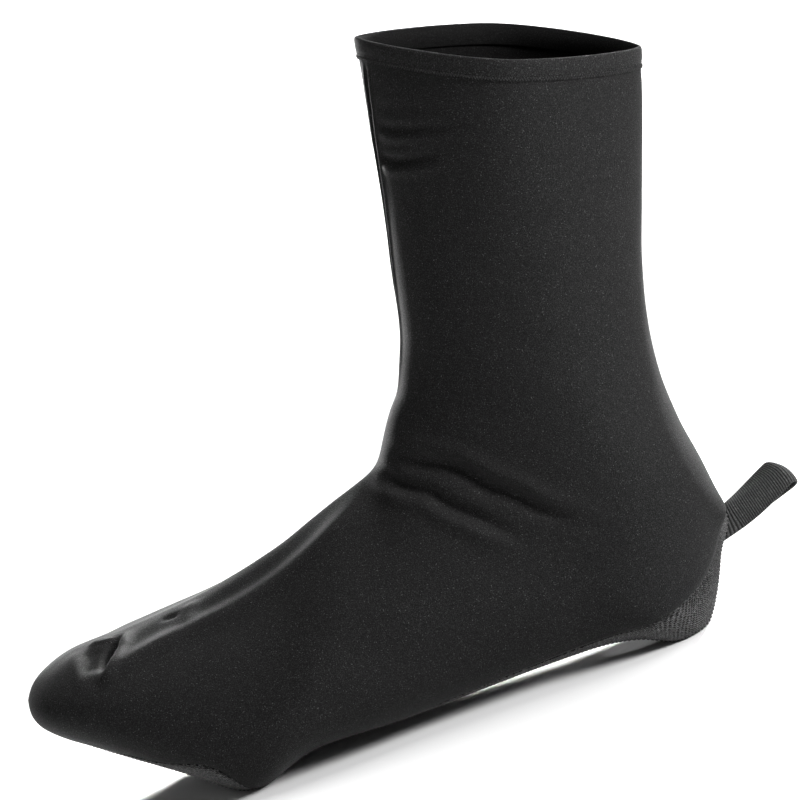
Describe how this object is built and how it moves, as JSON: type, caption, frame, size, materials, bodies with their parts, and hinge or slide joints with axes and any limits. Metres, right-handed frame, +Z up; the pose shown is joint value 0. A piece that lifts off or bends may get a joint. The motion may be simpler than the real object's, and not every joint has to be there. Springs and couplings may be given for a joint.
{
  "type": "cycling overshoe",
  "caption": "Pull-on black softshell cycling overshoe with a tall shaft, folded collar hem, ribbed knit sole panel with cleat and heel openings, and a heel pull loop.",
  "frame": {"origin": "middle of the bounding box's bottom, on the floor the overshoe stands on", "axes": "+X from toe to heel, -Y to the outer side of a left foot, +Z up"},
  "size_m": [0.3182, 0.1024, 0.2657],
  "materials": {
    "softshell": "matte black softshell cloth",
    "hem_softshell": "matte black folded softshell",
    "rib_knit": "coarse ribbed black knit",
    "webbing": "ribbed black webbing"
  },
  "bodies": {
    "root": {"upper": "softshell", "collar_hem": "hem_softshell", "sole_panel": "rib_knit", "pull_loop": "webbing"}
  },
  "joints": []
}
